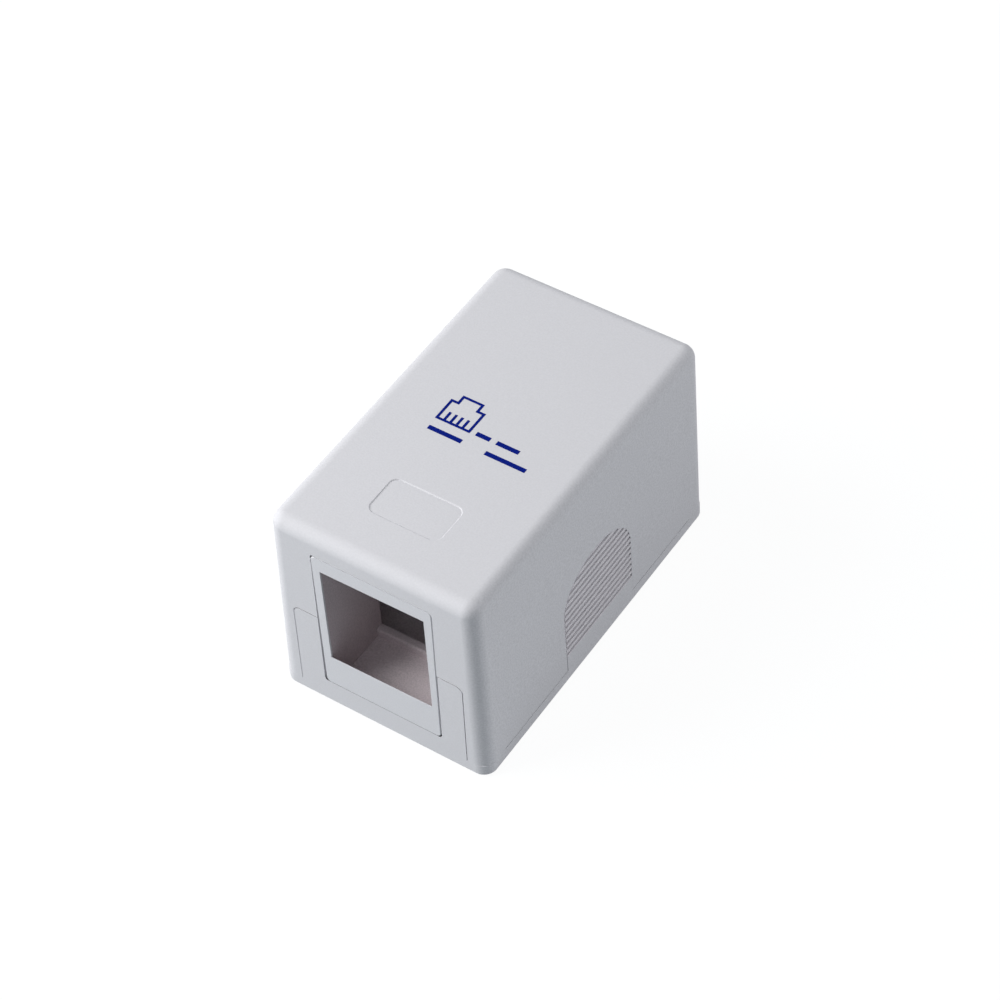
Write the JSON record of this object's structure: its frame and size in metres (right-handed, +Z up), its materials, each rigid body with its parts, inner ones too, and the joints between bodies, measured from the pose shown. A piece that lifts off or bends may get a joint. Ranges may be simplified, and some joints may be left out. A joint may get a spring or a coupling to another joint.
{
  "type": "surface mount jack box",
  "caption": "Single-port surface mount box for a keystone jack: clip-on cover, base with ribbed grip tongues, and a drop-in port insert.",
  "frame": {"origin": "on the surface the box stands on, below the middle of its outline", "axes": "+Z up from the base; +Y from the port face to the cable entry, along the length; +X to the right side"},
  "size_m": [0.0306, 0.051, 0.0309],
  "materials": {
    "cover": "fine matte moulded",
    "base": "fine matte moulded",
    "jack_frame": "smooth moulded",
    "foam": "closed-cell foam",
    "liner": "waxed paper"
  },
  "bodies": {
    "housing": {"base": "base", "jack_frame": "jack_frame", "adhesive_pad": "foam", "release_liner": "liner"},
    "lid": {"cover": "cover"}
  },
  "joints": [
    {"name": "cover_lift", "type": "slide", "parent": "housing", "child": "lid", "axis": [0, 0, 1], "range_m": [0, 0.036]}
  ]
}
